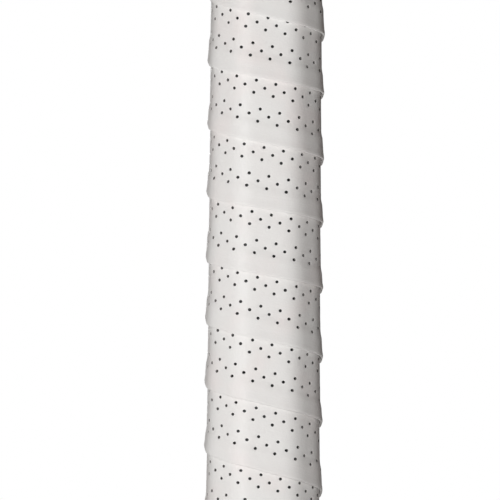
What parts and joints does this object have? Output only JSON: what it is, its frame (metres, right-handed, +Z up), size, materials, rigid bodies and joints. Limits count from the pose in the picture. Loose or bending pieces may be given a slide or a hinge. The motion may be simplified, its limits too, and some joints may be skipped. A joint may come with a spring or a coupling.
{
  "type": "wrapped racket handle",
  "caption": "Eight-sided racket handle with a perforated grip tape wound over a cushioned base grip, a flared butt cap, a rubber collar and twin shaft stubs.",
  "frame": {"origin": "middle of the butt cap's end face, which the part stands on", "axes": "+Z up along the shaft, X across the handle's wide facets, which face -Y and +Y"},
  "size_m": [0.0428, 0.039, 0.25],
  "materials": {
    "carbon": "semi-gloss woven carbon laminate",
    "core_foam": "open foam",
    "pallet_foam": "hard moulded foam, matt",
    "cap_plastic": "fine moulded texture",
    "door_plastic": "fine moulded texture",
    "staple_steel": "bright wire",
    "base_grip_rubber": "matt cushioned grip",
    "overgrip_tape": "matt off-white film, dry feel",
    "finishing_film": "satin adhesive tape",
    "base_film": "satin adhesive tape",
    "collar_rubber": "matt rubber"
  },
  "bodies": {
    "handle": {"leg_tube_left": "carbon", "leg_tube_right": "carbon", "foam_core_left": "core_foam", "foam_core_right": "core_foam", "pallet_front": "pallet_foam", "pallet_back": "pallet_foam", "butt_cap": "cap_plastic", "cap_staple_front": "staple_steel", "cap_staple_back": "staple_steel", "cap_staple_left": "staple_steel", "cap_staple_right": "staple_steel", "base_grip": "base_grip_rubber", "overgrip": "overgrip_tape", "finishing_tape": "finishing_film", "base_finishing_tape": "base_film"},
    "collar": {"collar": "collar_rubber"},
    "trap_door": {"trap_door": "door_plastic"}
  },
  "joints": [
    {"name": "collar_slide", "type": "slide", "parent": "handle", "child": "collar", "axis": [0, 0, 1], "range_m": [0, 0.022]},
    {"name": "trap_door_pull", "type": "slide", "parent": "handle", "child": "trap_door", "axis": [0, 0, -1], "range_m": [0, 0.03]}
  ]
}
